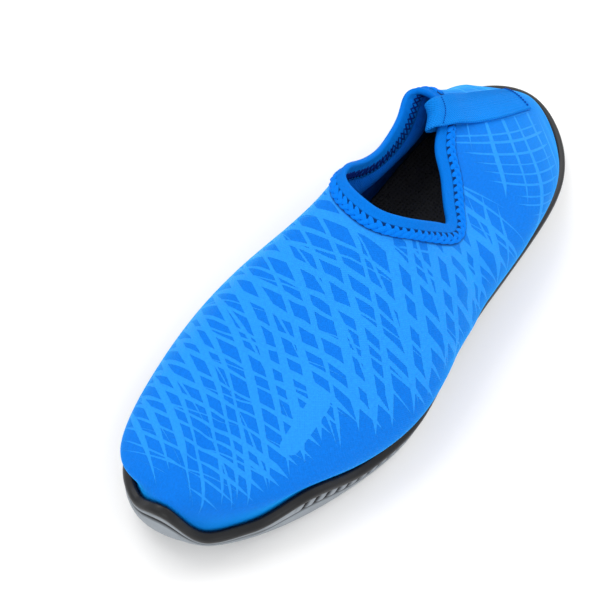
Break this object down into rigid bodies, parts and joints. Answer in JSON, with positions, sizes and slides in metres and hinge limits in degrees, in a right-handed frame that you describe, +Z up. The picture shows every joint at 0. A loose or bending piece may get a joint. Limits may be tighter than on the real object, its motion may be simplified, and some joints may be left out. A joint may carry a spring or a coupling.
{
  "type": "water shoe",
  "caption": "Left slip-on water shoe: stretchy blue hollow upper with folded collar and heel pull loop, set in a grey rubber cup sole with a dark wavy bead.",
  "frame": {"origin": "middle of the flat spot under the heel, on the ground", "axes": "+Z up, +Y towards the heel, -Y towards the toe, +X towards the outer side of the left foot"},
  "size_m": [0.0928, 0.2681, 0.0741],
  "materials": {
    "outsole_rubber": "satin moulded",
    "bead_rubber": "smooth satin",
    "insole_mesh": "open mesh",
    "upper_knit": "stretch knit with a raised-looking print",
    "collar_knit": "stretch knit, folded and stitched",
    "loop_webbing": "woven elastic"
  },
  "bodies": {
    "root": {"outsole": "outsole_rubber", "rim": "bead_rubber", "insole": "insole_mesh", "upper": "upper_knit", "collar_binding": "collar_knit", "pull_loop": "loop_webbing"}
  },
  "joints": []
}
